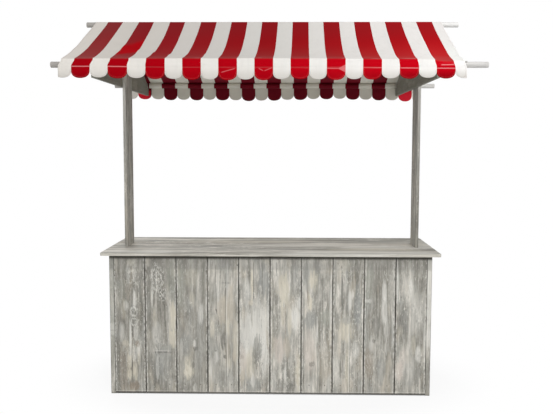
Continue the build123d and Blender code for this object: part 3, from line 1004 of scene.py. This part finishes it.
# %% Both halves of the sheet
OFF_GABLE, OFF_RIDGE = 0.0016, 0.0014
CREASE_OUT = 0.013
RIDGE_SAG = 0.0237
SLOPE_ROWS = 56
CLOSER_AT_CREASE = 1.08


def half_sheet(side):
    """Rows of (x, y, z) from the scallops up to the ridge, for the front (-1) or rear (1)."""
    crease_z, bend = crease(x_mid, side)
    crease_z = crease_z + ripple * 0.0008
    least, more = SAG[side]
    sag = (least + more * between) + ripple * 0.0008
    out_y = gable_end + OFF_GABLE + (ripple + 1) * 0.0004
    radius = pole_radius + OFF_RIDGE
    steep = math.atan2(ridge_z - eaves_z + 4 * RIDGE_SAG, eaves_y + CREASE_OUT)
    ridge_y, ridge_top = radius * math.sin(steep), ridge_z + radius * math.cos(steep)
    shallow = np.arctan2(ridge_top - crease_z - 4 * sag, out_y - ridge_y)
    fold_y = out_y - bend + bend * np.sin(shallow)
    centre_z = crease_z - bend * np.cos(shallow)

    flat, upper = valance_heights(side, centre_z)
    rows = [(out_y + valance_hang(z, side, crease_z), z) for z in flat]
    rows += [(out_y + valance_hang(z, side, crease_z) * (1 - share), z) for share, z in upper]
    for share in np.linspace(0, 1, 7)[1:]:
        turn = math.pi / 2 + (shallow - math.pi / 2) * share
        rows.append((out_y - bend + bend * np.sin(turn), centre_z + bend * np.cos(turn)))
    slope_length = np.hypot(fold_y - ridge_y, ridge_top - crease_z)
    rows = [(y, z, slope_length + crease_z - z) for y, z in rows]
    lean = math.atan2(ridge_z - eaves_z, eaves_y)
    for share in 1 - (1 - np.linspace(0, 1, SLOPE_ROWS + 1)[1:]) ** CLOSER_AT_CREASE:
        y = fold_y + (ridge_y - fold_y) * share
        z = crease_z + (ridge_top - crease_z) * share - 4 * sag * share * (1 - share)
        s = slope_length * (1 - share)
        wave = slope_waves(x_mid, s, side)
        rows.append((y + wave * math.sin(lean), z + wave * math.cos(lean), s))
    for share in np.linspace(0, 1, 6)[1:]:
        turn = steep * (1 - share)
        rows.append((radius * math.sin(turn) + 0 * u, ridge_z + radius * math.cos(turn) + 0 * u, 0 * u))
    return [np.stack([x_mid + side_shift(x_mid, s, side), side * y, z], axis=1) for y, z, s in rows]


front_rows, rear_rows = half_sheet(-1), half_sheet(1)
grid = np.array(front_rows + rear_rows[::-1][1:])
steps = np.linalg.norm(np.diff(grid[:, len(u) // 2], axis=0), axis=1)
down = np.concatenate([[0], np.cumsum(steps)])

# %% [markdown]
# ### From rows to a mesh
#
# The grid becomes a mesh with one map, `cut`, that says where each point was on the flat cloth: the
# distance from the left edge, and the distance from the front scallops. The stripes are painted from
# it, so they follow every fold. A second map, `hem`, gives the distance to the nearest cut edge.
# Solidify gives the cloth its thickness, and gives the inner face the second finish.

# %% The sheet's mesh
CLOTH_THICKNESS = 0.0011
HEM_ROWS = 16


def lay(name, grid, across, down, hem):
    """A cloth mesh from a grid of points, with its maps of the flat cloth and of its hem."""
    rows, columns = grid.shape[:2]
    mesh = bpy.data.meshes.new(name)
    corners = np.arange(rows * columns).reshape(rows, columns)
    faces = np.stack([corners[:-1, :-1], corners[:-1, 1:], corners[1:, 1:], corners[1:, :-1]], axis=-1)
    mesh.from_pydata(grid.reshape(-1, 3).tolist(), [], faces.reshape(-1, 4).tolist())
    loops = np.zeros(len(mesh.loops), np.int32)
    mesh.loops.foreach_get("vertex_index", loops)
    for layer_name, first, second in (("cut", across, down), ("hem", hem, across + down)):
        flat = np.stack([first.ravel(), second.ravel()], axis=1)
        layer = mesh.uv_layers.new(name=layer_name)
        layer.data.foreach_set("uv", flat[loops].astype(np.float32).ravel())
    mesh.polygons.foreach_set("use_smooth", np.ones(len(mesh.polygons), bool))
    piece = new_piece(name, mesh)
    thick = piece.modifiers.new("cloth_thickness", "SOLIDIFY")
    thick.thickness = CLOTH_THICKNESS
    thick.offset = 0.0
    thick.material_offset = 1
    thick.material_offset_rim = 0
    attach(piece, "root")
    return piece


flat_across = np.tile(u, (len(grid), 1))
flat_down = np.repeat(down[:, None], len(u), axis=1)
hem = np.minimum(flat_across, sheet_width - flat_across)
for end, rows in ((grid[0], range(HEM_ROWS)), (grid[-1], range(len(grid) - HEM_ROWS, len(grid)))):
    for row in rows:
        gap = np.linalg.norm(grid[row][:, None, (0, 2)] - end[None, :, (0, 2)], axis=2).min(axis=1)
        hem[row] = np.minimum(hem[row], gap)
awning = lay("awning_sheet", grid, flat_across, flat_down, hem)
print("sheet area", round(sum(p.area for p in awning.data.polygons), 3), "m2")

# %% [markdown]
# ### The pole pockets
#
# The front and rear poles run through pockets sewn behind the valances. A pocket is a strip of the
# same cloth: it leaves the valance above the pole, goes round behind it and comes back below. It
# stops on each side of a gable, where the pole sits bare in its seat. The strip's map is shifted, so
# that its stripes meet those of the sheet.

# %% Front and rear pockets
POCKET_GAP = 0.003
ROUND_POLE = 0.0009
SEWN_ABOVE = {-1: 0.0178, 1: 0.0100}
STRIPE_SHIFT = {-1: 0.0245, 1: 0.0015}
pockets = []
(left_low, left_high), (right_low, right_high) = gables
spans = [
    (sheet_left + 0.002, left_low.x - POCKET_GAP), (left_high.x + POCKET_GAP, right_low.x - POCKET_GAP),
    (right_high.x + POCKET_GAP, sheet_right - 0.010),
]


def pocket_path(side):
    """The strip's path as (y, z): from the valance, round behind the pole, and back to the seam."""
    radius = pole_radius + ROUND_POLE
    turns = np.radians(np.linspace(82, 278, 25))
    path = [(gable_end + 0.0006, eaves_z + SEWN_ABOVE[side])]
    path += [(eaves_y + radius * math.cos(a), eaves_z + radius * math.sin(a)) for a in turns]
    return path + [(gable_end + 0.0004, seam_z + 0.001)]


for side, word in ((-1, "front"), (1, "rear")):
    path = pocket_path(side)
    lengths = np.concatenate([[0], np.cumsum([math.dist(a, b) for a, b in zip(path, path[1:])])])
    for number, (start, end) in enumerate(spans, 1):
        x = np.linspace(start, end, max(6, int((end - start) / 0.02)))
        lift = np.maximum(0.0005 * np.sin(x * 71) + 0.0004 * np.sin(x * 143 + 1), 0)
        points = np.array([
            np.stack([x, side * np.full(len(x), y), z + lift * (1.0 if z > eaves_z else 0.3)], axis=1)
            for y, z in path
        ])
        height, turn = crease(x, side)
        above = np.clip(path[0][1] - (height - turn * 0.92), 0, turn)
        points[0, :, 1] -= side * (turn - np.sqrt(turn**2 - above**2))
        across = np.tile(x - sheet_left + STRIPE_SHIFT[side], (len(path), 1))
        along = np.repeat(lengths[:, None], len(x), axis=1)
        edge = np.minimum(np.minimum(along, lengths[-1] - along) + 0.004, 1.0)
        pockets.append(lay(f"{word}_pocket_{number}", points, across, along + 0.2, edge))
print("pockets:", [p.name for p in pockets])

# %% [markdown]
# ## The striped canvas
#
# The cloth is printed through in red and white and coated on the outside. Its inside is painted
# duller, the red a dark maroon: painted shade of the awning. Only the valances keep a trace of the
# coat's gloss; the slopes' sheen is painted into their colour instead. The reds and whites are ramps
# along the stall, darker at the left end and lighter at the right, partly painted light from the
# right, and near the ridge the reds are painted darker. Pale pink lines are painted where the
# pocket's seam and the pinches catch the light: painted highlights.

# %% Colours and fine lines of the canvas
# ramps from the left end to the right: their rise to the right is partly painted light from the right
VALANCE_WHITES = [(0.0, paint(231, 226, 218)), (0.5, paint(237, 234, 228)), (1.0, paint(253, 251, 248))]
SLOPE_WHITES = [
    (0.05, paint(229, 222, 214)), (0.15, paint(218, 212, 204)), (0.35, paint(219, 214, 208)),
    (0.5, paint(225, 222, 216)), (0.7, paint(240, 236, 231)), (0.88, paint(250, 246, 242)),
]
SLOPE_REDS = [(0.0, paint(144, 14, 28)), (0.5, paint(158, 6, 18)), (1.0, paint(190, 10, 22))]
VALANCE_REDS = [(0.0, paint(158, 0, 14)), (0.5, paint(184, 0, 18)), (1.0, paint(212, 4, 26))]
# painted shade near the ridge, painted light on the red slope's right end, and a painted highlight on the
# left fold's flat
RIDGE_SHADE, SUNNY_RED, FACET_HIGHLIGHT_RED = paint(88, 62, 62), paint(224, 6, 24), paint(186, 4, 18)
# painted sheen on the red slopes and just above the crease; SCUFF is worn, scuffed cloth
SHEEN_ON_RED, CREASE_SHEEN, SCUFF = paint(166, 110, 105), paint(190, 150, 145), paint(208, 204, 196)
# painted shade low on the valances, and painted light on the white slope's right end
SHADED_LOW_RED, SHADED_LOW_WHITE, SUNNY_WHITE = paint(138, 0, 12), paint(208, 204, 196), paint(255, 255, 250)
# painted highlights: pale pink lines on the valance, and places where the slope catches the light
HIGHLIGHT_PINK, RED_SHINE, WHITE_SHINE = paint(236, 150, 152), paint(214, 150, 144), paint(246, 245, 242)
# x, y, half sizes across and down the slope, strength, of places where the slope catches the light
SHINES = [
    (-0.052, -0.795, 0.020, 0.014, 0.35), (0.431, -0.793, 0.024, 0.012, 0.5),
    (0.61, -0.790, 0.040, 0.014, 0.55), (0.79, -0.785, 0.060, 0.014, 0.45),
    (-0.40, -0.795, 0.030, 0.014, 0.3),
]
# x and z of both ends, and strength, of the painted highlight lines on the front valance
HIGHLIGHT_LINES = [
    (-0.269, 2.013, -0.184, 2.037, 0.35), (-0.058, 2.0385, -0.0255, 2.0215, 0.3),
    (-0.0255, 2.0215, 0.027, 2.0426, 0.3), (0.965, 2.056, 1.045, 2.058, 0.75),
    (0.31, 2.037, 0.40, 2.036, 0.4),
]
print("shines:", len(SHINES), "fine lines:", len(HIGHLIGHT_LINES))

# %% [markdown]
# ### Stripes and stitches
#
# The stripes are read from the `cut` map with a modulo, which starts again at each red stripe, and
# the stitches from the `hem` map: a thin band at one distance from the edge, broken into dashes by a
# second modulo along the seam. Weave, hem and stitches also raise the surface a little, through Bump.

# %% Stripes and stitches
STITCH_LENGTH = 0.006
HEM_WIDTH = 0.0102
STITCH_INSET = 0.0078
EDGE_BLUR = 0.0006


def thread_marks(bench):
    """The stitch mask and the raised hem, from the distance to the cut edge."""
    hem = bench.split(bench.add("ShaderNodeUVMap", {"uv_map": "hem"}))
    gap = hem.out("X")
    dashes = bench.repeat(hem.out("Y"), STITCH_LENGTH)
    stitch = bench.ease(abs(gap - STITCH_INSET), 0.0007, 0.0004) * bench.ease(dashes, 0.0016, 0.0022)
    return stitch, bench.ease(gap, HEM_WIDTH, HEM_WIDTH - 0.0012)


def stripes(bench):
    """1 on a red stripe and 0 on a white one."""
    across = bench.split(bench.add("ShaderNodeUVMap", {"uv_map": "cut"})).out("X") - LEFT_MARGIN
    turn = bench.repeat(across, RED_WIDTH + WHITE_WIDTH)
    return bench.ease(turn, 0.0, EDGE_BLUR) * bench.ease(turn, RED_WIDTH + EDGE_BLUR, RED_WIDTH)


def sew(bench, place, colour, thread, weave_height):
    """Stitches on the colour, and the bump of the weave, the hem and the stitches."""
    stitch, folded = thread_marks(bench)
    weave = bench.cloudy(place * 900.0, 1.0)
    normal = bench.bump(0.25, 0.0006, weave * weave_height + folded + stitch * -0.6)
    return bench.blend(stitch * 0.5, colour, thread), normal


print("one red and one white stripe:", round(RED_WIDTH + WHITE_WIDTH, 4), "m")

# %% [markdown]
# ### The weather side
#
# Reds and whites are mixed apart and joined last, because the painted sheen shows on red as pink and
# scuffs show on white as grey. Each starts as a ramp along the stall, one for the slopes and one for
# the valances, and is then painted darker or lighter by masks made from where a point lies: painted
# shade near the ridge and low on a valance, painted light at the sunny right end, and a painted
# highlight on the flat of a fold.


# %% Masks, reds and whites of the outside
def outside_masks(bench):
    """Where a point of the outside is, and the clouds and masks that its colours share."""
    place = bench.place()
    spot = bench.split(place)
    x, y, z = (spot.out(a) for a in AXES)
    cloud = bench.cloudy(place * 6.0)
    on_slope = bench.ease(z + 0.016 * bench.ease(x, 0.84, 1.02), 2.086, 2.097)
    return SimpleNamespace(
        place=place, x=x, y=y, z=z, cloud=cloud, on_slope=on_slope,
        scuffs=bench.cloudy(place * (40.0, 14.0, 14.0), 5.0, 0.6),
        rightward=x * 0.4 + 0.5 + (cloud - 0.5) * 0.05,
        # low: where the valance is painted darker towards its scallops, as painted shade
        low=bench.ease(z + (cloud - 0.5) * 0.02, 2.05, 1.985),
        on_valance=bench.ease(y, -0.79, -0.80) * (1 - on_slope),
    )


def fold_facet_highlight(bench, at):
    """The flat of the large fold at the left end, a slanting band painted as a highlight where it faces the
    light.
    """
    x, y, rough = at.x, at.y, (at.scuffs - 0.5) * 0.05
    facet = bench.ease(y - (x + 0.892) * 1.38 + rough, -0.40, -0.50)
    facet = facet * bench.ease(y - (x + 0.885) + rough, -0.72, -0.66)
    return facet * bench.ease(abs(x + 0.84), 0.10, 0.07)


def outside_reds(bench, at):
    x, y = at.x, at.y
    # painted light on the reds of the slope's right end, lower down
    brighter = bench.ease(abs(y), 0.2, 0.7) * bench.ease(x, 0.2, 1.05)
    # a painted sheen: pale pink towards the crease and at the left end
    painted_sheen = (y * y) * 0.34 + 0.12 * bench.ease(x, -0.75, -1.1) + 0.03 * bench.ease(x, -0.1, -0.6)
    slope = bench.ramp(at.rightward, SLOPE_REDS)
    # painted shade on the reds near the ridge
    slope = bench.blend(bench.ease(abs(y), 0.42, 0.06) * 0.2, slope, RIDGE_SHADE)
    slope = bench.blend(brighter * 0.5, slope, SUNNY_RED)
    slope = bench.blend(painted_sheen, slope, SHEEN_ON_RED)
    # a painted highlight on the flat of the left fold
    slope = bench.blend(fold_facet_highlight(bench, at) * 0.8, slope, FACET_HIGHLIGHT_RED)
    # painted shade low on the red valance, stronger at both ends
    low_shade_strength = 0.42 + 0.42 * bench.ease(x, 0.3, 1.0) + 0.3 * bench.ease(x, -0.85, -1.05)
    valance = bench.blend(at.low * low_shade_strength, bench.ramp(at.rightward, VALANCE_REDS), SHADED_LOW_RED)
    # a painted sheen just above the crease
    sheen_above_crease = bench.ease(at.z + (at.cloud - 0.5) * 0.02, 2.125, 2.098) * at.on_slope * bench.ease(y, 0.0, -0.1)
    return bench.blend(sheen_above_crease * 0.06, bench.blend(at.on_slope, valance, slope), CREASE_SHEEN)


def outside_whites(bench, at):
    # painted shade low on the white valance
    valance = bench.blend(at.low * 0.75, bench.ramp(at.rightward, VALANCE_WHITES), SHADED_LOW_WHITE)
    # painted light on the whites of the slope's right end
    sunlit = bench.ease(abs(at.y), 0.3, 0.6) * bench.ease(at.x, 0.92, 1.08)
    slope = bench.blend(sunlit, bench.ramp(at.rightward, SLOPE_WHITES), SUNNY_WHITE)
    whites = bench.blend(at.on_slope, valance, slope)
    return bench.blend(bench.ease(at.scuffs, 0.45, 0.75) * 0.15, whites, SCUFF)


print("reds and whites ready")

# %% [markdown]
# ### Painted highlights on the valance
#
# On the front valance pale pink is painted where the light catches the cloth: along the seam where
# the pocket is sewn on, at one pinch that has the shape of a wedge, and along a few fine lines. These
# are painted highlights. Where two of them cross, the paler one shows, so they are joined by a maximum.


# %% Painted highlights, and the outside
def fine_line(bench, x, z, ends):
    """A thin line on the valance between its two ends."""
    x1, z1, x2, z2 = ends
    length = math.hypot(x2 - x1, z2 - z1)
    c, s = (x2 - x1) / length, (z2 - z1) / length
    along = (x - (x1 + x2) / 2) * c + (z - (z1 + z2) / 2) * s
    off = (z - (z1 + z2) / 2) * c - (x - (x1 + x2) / 2) * s
    return bench.ease(abs(off), 0.0042, 0.001) * bench.ease(abs(along), length / 2, length / 2 - 0.01)


def valance_highlights(bench, at):
    """How far the front valance is painted pale: highlights at the pocket's seam, a wedge at one pinch, and
    the fine lines.
    """
    x, z = at.x, at.z
    off_seam = z - (seam_z + 0.0012) - 0.005 * bench.ease(x, -0.5, -1.0) + 0.005 * bench.ease(x, 0.4, 1.0)
    patchy = 0.12 + 0.75 * bench.ease(x, -0.68, -0.76) + 0.75 * bench.ease(x, 0.25, 0.95)
    # a painted highlight along the pocket's seam, patchy along the stall
    pale = bench.ease(abs(off_seam), 0.0042, 0.0012) * patchy * 0.8
    # a painted highlight shaped like a wedge at one pinch
    wedge = bench.ease((x - 0.386) * 0.5 - abs(z - 2.036), 0.0, 0.005) * bench.ease(x, 0.444, 0.438)
    pale = bench.larger(pale, wedge * 0.55)
    for *ends, strength in HIGHLIGHT_LINES:
        pale = bench.larger(pale, fine_line(bench, x, z, ends) * strength)
    return pale * at.on_valance


def weather_side():
    bench = new_finish("striped_canvas")
    at = outside_masks(bench)
    whites = outside_whites(bench, at)
    reds = bench.blend(valance_highlights(bench, at), outside_reds(bench, at), HIGHLIGHT_PINK)
    for x, y, half_x, half_y, strength in SHINES:
        away = bench.length((at.place - (x, y, 0.0)) * (1 / half_x, 1 / half_y, 0.0))
        shine = bench.ease(away + (at.scuffs - 0.5), 1.1, 0.5) * at.on_slope * strength
        reds = bench.blend(shine, reds, RED_SHINE)
        whites = bench.blend(shine, whites, WHITE_SHINE)
    colour = bench.blend(stripes(bench), whites, reds)
    colour, normal = sew(bench, at.place, colour, paint(150, 120, 116), 0.25)
    bench.set(base_color=colour, roughness=0.45 + at.scuffs * 0.2, normal=normal)
    bench.set(coat_weight=0.06 * (1 - at.on_slope), coat_roughness=0.2, specular_ior_level=0.0)
    return bench.owner


outside = weather_side()
print("outside:", outside.name, "with", len(outside.node_tree.nodes), "nodes")

# %% [markdown]
# ### The inside
#
# No sun reaches the inside, so it has no painted sheen and no highlights. Its red is painted a flat
# maroon, the awning's painted shade, and its white a warm grey. Beyond the gables the rear valance's
# inner face is painted bright red and white: painted light, where daylight falls on it.


# %% The inside, and the cloth dressed
def shaded_side():
    bench = new_finish("canvas_inside")
    place = bench.place()
    x, y, z = (bench.split(place).out(a) for a in AXES)
    cloud = bench.cloudy(place * 9.0)
    # painted light on the rear valance's inner face beyond the gables; the maroon between them is painted
    # shade
    lit_beyond_gables = bench.ease(abs(x), 0.966, 0.974) * bench.ease(y, 0.79, 0.80) * bench.ease(z, 2.03, 2.02)
    reds = bench.blend(lit_beyond_gables, paint(116, 8, 30), paint(222, 34, 52))
    reds = bench.blend(cloud * (1 - lit_beyond_gables), reds, paint(104, 4, 22))
    whites = bench.blend(cloud, paint(231, 228, 216), paint(219, 216, 204))
    whites = bench.blend(lit_beyond_gables, whites, paint(244, 240, 232))
    colour = bench.blend(stripes(bench), whites, reds)
    colour, normal = sew(bench, place, colour, paint(120, 104, 98), 0.3)
    bench.set(base_color=colour, roughness=0.7, normal=normal, specular_ior_level=0.12)
    return bench.owner


inside_out = shaded_side()
awning.data.materials.append(outside)
awning.data.materials.append(inside_out)
for pocket in pockets:
    pocket.data.materials.append(inside_out)
    pocket.data.materials.append(inside_out)
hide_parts("awning_front_slope", "awning_front_valance", "awning_rear_slope", "awning_rear_valance")
print("canvas dressed:", 1 + len(pockets), "pieces")

# %% [markdown]
# ## A plain studio
#
# The floor is a wide pale sheet. Near the stall it keeps part of the soft shadow. Further off it
# turns into plain white that glows only for what the camera sees, straight or in a reflection, so
# the background stays white without more light on the stall. The strip under the front boards, which
# stop short of the floor, doesn't glow, so their lower edge has a dark line under it.

# %% Floor and sky
FLOOR_HALF = 30.0
SKY_LIGHT = 0.34
WHITE = (1, 1, 1, 1)


def seen_rays(bench):
    """1 for the camera's own rays, and for those it sends through glass or off metal."""
    rays = bench.add("ShaderNodeLightPath", out="Is Camera Ray")
    return bench.larger(bench.larger(rays, rays.out("Is Glossy Ray")), rays.out("Is Transmission Ray"))


def stage_floor(half):
    mesh = bpy.data.meshes.new("studio_floor")
    corners = [(-half, -half, 0), (half, -half, 0), (half, half, 0), (-half, half, 0)]
    mesh.from_pydata(corners, [], [(0, 1, 2, 3)])
    new_piece("studio_floor", mesh)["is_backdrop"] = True
    bench = new_finish("studio_floor")
    bench.set(base_color=paint(240, 240, 240), roughness=0.9)
    place = bench.place()
    x, y = (bench.split(place).out(a) for a in "XY")
    far = bench.ease(bench.length(place * (1.0, 1.4, 0.0)), 0.9, 1.6)
    under = bench.ease(y, -0.376, -0.373) * bench.ease(y, -0.20, -0.33) * bench.ease(abs(x), 1.03, 1.02)
    glow = bench.add("ShaderNodeEmission", None, {"Color": WHITE, "Strength": 1.0})
    share = (0.84 + 0.16 * far) * (1 - under) * seen_rays(bench)
    mixed = bench.add("ShaderNodeMixShader", None, {0: share, 1: Strand(bench, bench.surface, 0), 2: glow})
    bench.plug(mixed, bench.tree.nodes["Material Output"].inputs["Surface"])
    mesh.materials.append(bench.owner)


def white_sky(light):
    """Plain white to the camera, and a soft even light of the given strength to everything else."""
    world = bpy.data.worlds.new("studio")
    bpy.context.scene.world = world
    bench = Bench(world)
    plain = bench.add("ShaderNodeBackground", None, {"Color": WHITE, "Strength": 1.0})
    soft = bench.add("ShaderNodeBackground", None, {"Color": (0.97, 0.98, 1.0, 1), "Strength": light})
    mixed = bench.add("ShaderNodeMixShader", None, {0: seen_rays(bench), 1: soft, 2: plain})
    bench.plug(mixed, bench.tree.nodes["World Output"].inputs["Surface"])


stage_floor(FLOOR_HALF)
white_sky(SKY_LIGHT)
print("floor and sky ready")

# %% [markdown]
# ## Light
#
# One wide lamp stands high in front, a little to the right. It lights the slopes and the boards
# alike, and it casts the thin shadow under the counter top. Two weaker lamps fill the ends, and one
# behind keeps the back from going dull.

# %% Lamps
# name, place, what it points at, width and power
LAMPS = [
    ("front_light", (1.8, -9.0, 7.6), (0, 0, 1.3), 4.0, 505),
    ("right_light", (5.2, -2.6, 4.4), (0.4, 0, 1.8), 2.0, 85),
    ("left_light", (-5.2, -2.6, 3.0), (-0.4, 0, 1.2), 2.0, 36),
    ("back_light", (-2.5, 5.5, 4.5), (0, 0, 1.2), 3.0, 110),
]
for name, place, target, width, power in LAMPS:
    data = bpy.data.lights.new(name, "AREA")
    data.shape = "DISK"
    data.size = width
    data.energy = power
    piece = new_piece(name, data)
    piece.location = place
    piece.rotation_mode = "QUATERNION"
    piece.rotation_quaternion = (Vector(target) - Vector(place)).to_track_quat("-Z", "Y")
print("lamps:", len(LAMPS))

# %% [markdown]
# ## The camera
#
# The camera stands five metres in front of the counter at a tall customer's eye height, and looks
# down a little. It could be aimed with a Track To constraint, but three small angles written out
# keep it where it is. The view transform is Standard, so that a colour shows about as it is written.

# %% Camera
LENS, SENSOR_WIDTH = 47.85, 36.0
EYE = (0.11944, -4.99762, 1.61881)
YAW, PITCH_DOWN, ROLL = 0.01713, 0.08701, -0.00207
camera = bpy.data.cameras.new("camera")
camera.sensor_width = SENSOR_WIDTH
camera.lens = LENS
eye = new_piece("camera", camera)
turned = Matrix.Rotation(YAW, 4, "Z") @ Matrix.Rotation(-PITCH_DOWN, 4, "X") @ Matrix.Rotation(ROLL, 4, "Y")
eye.matrix_world = Matrix.Translation(EYE) @ turned @ Matrix.Rotation(math.pi / 2, 4, "X")
bpy.context.scene.camera = eye
bpy.context.scene.view_settings.view_transform = "Standard"
print("camera at", [round(v, 2) for v in eye.matrix_world.translation])

# %% [markdown]
# ## Sizes, and the end
#
# The dressed stall must stay within the frame's box, apart from a little play for cloth, so its
# size is printed at the end.

# %% Sizes, and the end
low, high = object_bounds()
print("visual size", [round(v, 4) for v in high - low])
